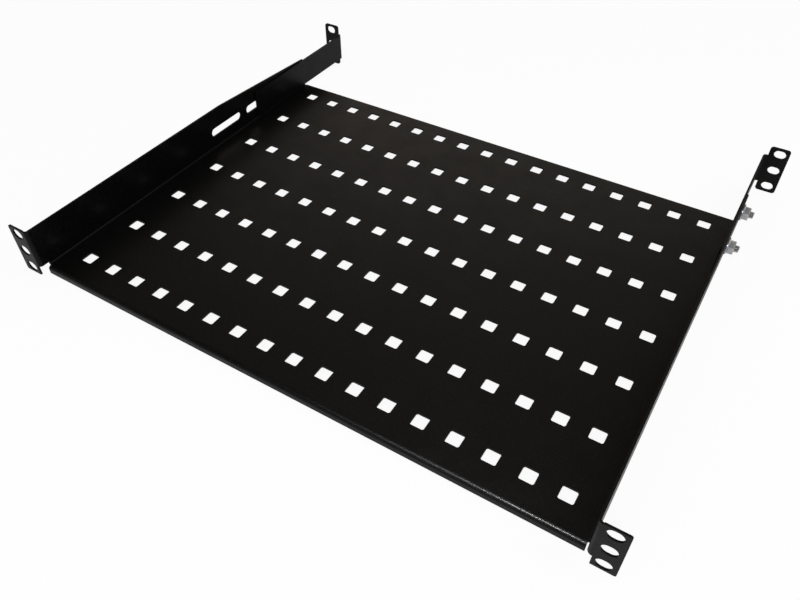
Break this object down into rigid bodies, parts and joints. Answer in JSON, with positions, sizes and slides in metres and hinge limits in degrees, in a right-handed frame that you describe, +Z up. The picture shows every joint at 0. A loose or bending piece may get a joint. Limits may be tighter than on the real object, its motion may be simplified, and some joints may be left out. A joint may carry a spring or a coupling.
{
  "type": "vented four-post rack shelf",
  "caption": "Shallow folded steel tray with vented floor, slotted rack ears in front and sliding eared brackets clamped inside its rear corners to reach the rear rails.",
  "frame": {"origin": "middle of the front ears' slot pattern, on the ears' rear faces, which seat on the front rails", "axes": "+X to the right across the rack, +Y to the rear, +Z up"},
  "size_m": [0.4814, 0.4072, 0.0434],
  "materials": {
    "black_powder_coat": "satin black powder coat with a fine even texture",
    "zinc_plate": "bright zinc plating on machined and rolled steel"
  },
  "bodies": {
    "shelf": {"tray": "black_powder_coat"},
    "right_rear_bracket": {"right_bracket": "black_powder_coat", "right_front_stud": "zinc_plate", "right_front_nut": "zinc_plate", "right_rear_stud": "zinc_plate", "right_rear_nut": "zinc_plate"},
    "left_rear_bracket": {"left_bracket": "black_powder_coat", "left_front_stud": "zinc_plate", "left_front_nut": "zinc_plate", "left_rear_stud": "zinc_plate", "left_rear_nut": "zinc_plate"}
  },
  "joints": [
    {"name": "right_depth_slide", "type": "slide", "parent": "shelf", "child": "right_rear_bracket", "axis": [0, -1, 0], "range_m": [0, 0.033]},
    {"name": "left_depth_slide", "type": "slide", "parent": "shelf", "child": "left_rear_bracket", "axis": [0, -1, 0], "range_m": [0, 0.033]}
  ]
}
